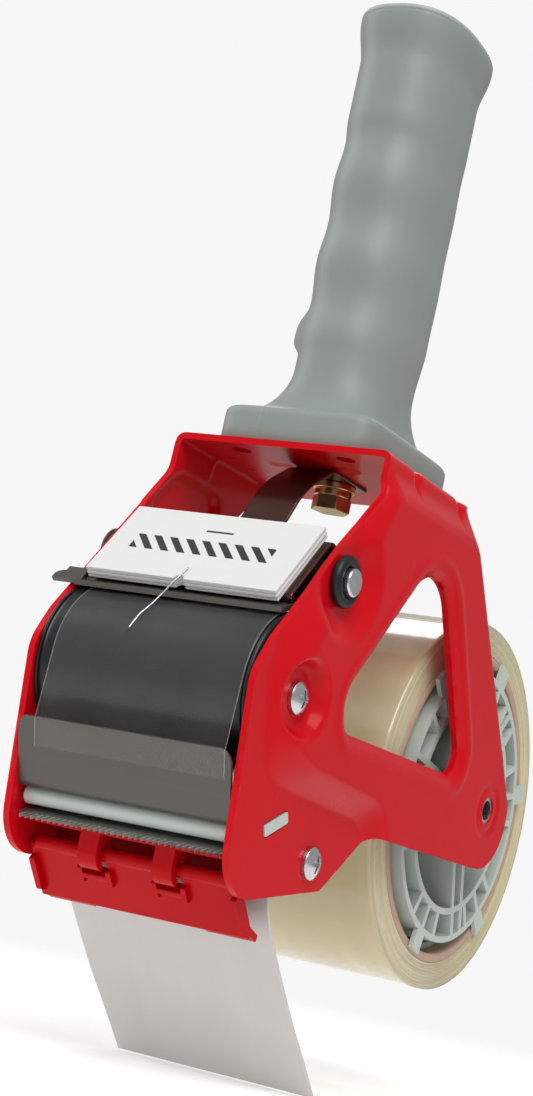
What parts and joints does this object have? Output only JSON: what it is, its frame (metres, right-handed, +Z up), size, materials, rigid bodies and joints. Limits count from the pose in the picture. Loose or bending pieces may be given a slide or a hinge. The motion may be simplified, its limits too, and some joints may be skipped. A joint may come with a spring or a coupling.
{
  "type": "tape dispenser",
  "caption": "Hand-held packing-tape dispenser with upright grip, folded steel frame, roll hub, guide roller, serrated blade with flip guard, wiper flap and sprung card lever.",
  "frame": {"origin": "centre of the tape roll, on its axis, half way across the tape", "axes": "+Z up along the grip, -Y to the cutting front, X across the tape with +X toward the long plate"},
  "size_m": [0.0654, 0.1738, 0.2611],
  "materials": {
    "red_paint": "gloss",
    "grey_plastic": "matte",
    "cap_plastic": "matte",
    "yellow_zinc": "satin",
    "spring_steel": "polished",
    "zinc_steel": "satin",
    "black_rubber": "satin",
    "pale_plastic": "satin",
    "blade_steel": "satin",
    "satin_steel": "satin",
    "red_plastic": "gloss",
    "clear_flap": "satin",
    "clear_tape": "gloss",
    "wound_tape": "satin",
    "core_board": "matte",
    "black_plastic": "satin",
    "white_card": "matte"
  },
  "bodies": {
    "dispenser": {"frame": "red_paint", "grip": "grey_plastic", "grip_cap": "cap_plastic", "grip_bolt": "yellow_zinc", "flat_washer": "yellow_zinc", "spring_washer": "yellow_zinc", "leaf_strap": "spring_steel", "roller_axle": "zinc_steel", "crossbar": "zinc_steel", "plate_screws": "zinc_steel", "lever_shaft": "zinc_steel", "shaft_grommets": "black_rubber", "blade_holder": "pale_plastic", "blade": "blade_steel", "guide_plate": "satin_steel", "guard_carrier": "red_plastic", "clamp_screws": "zinc_steel", "idler_pin": "zinc_steel", "wiper_flap": "clear_flap", "flap_clamp": "satin_steel", "hub_stud": "zinc_steel", "brake_washer": "zinc_steel", "brake_spring": "zinc_steel", "brake_nut": "zinc_steel", "tape_run": "clear_tape"},
    "roll": {"tape_roll": "wound_tape", "tape_core": "core_board", "hub": "pale_plastic", "hub_bush": "pale_plastic"},
    "roller": {"guide_roller": "black_plastic"},
    "idler": {"idler_rod": "pale_plastic"},
    "lever": {"lever_plate": "satin_steel", "card_bracket": "spring_steel", "card_1": "white_card", "card_2": "white_card", "card_3": "white_card", "card_4": "white_card", "card_5": "white_card", "card_wire": "zinc_steel"},
    "guard": {"blade_guard": "red_plastic"}
  },
  "joints": [
    {"name": "roll_spin", "type": "hinge", "parent": "dispenser", "child": "roll", "pos_m": [0, 0, 0], "axis": [1, 0, 0], "continuous": true},
    {"name": "roller_spin", "type": "hinge", "parent": "dispenser", "child": "roller", "pos_m": [0, -0.1073, 0.0086], "axis": [1, 0, 0], "continuous": true},
    {"name": "idler_spin", "type": "hinge", "parent": "dispenser", "child": "idler", "pos_m": [0, -0.11632, -0.02248], "axis": [1, 0, 0], "continuous": true},
    {"name": "lever_lift", "type": "hinge", "parent": "dispenser", "child": "lever", "pos_m": [0, -0.098, 0.0365], "axis": [-1, 0, 0], "range_deg": [0, 28], "stiffness_Nm_per_rad": 0.2, "springref_deg": -11.46, "deforming": ["leaf_strap"]},
    {"name": "guard_flip", "type": "hinge", "parent": "dispenser", "child": "guard", "pos_m": [0, -0.1109, -0.0321], "axis": [-1, 0, 0], "range_deg": [0, 140]}
  ],
  "couplings": [
    {"joint": "roller_spin", "follows": "roll_spin", "ratio": -2.6222}
  ]
}
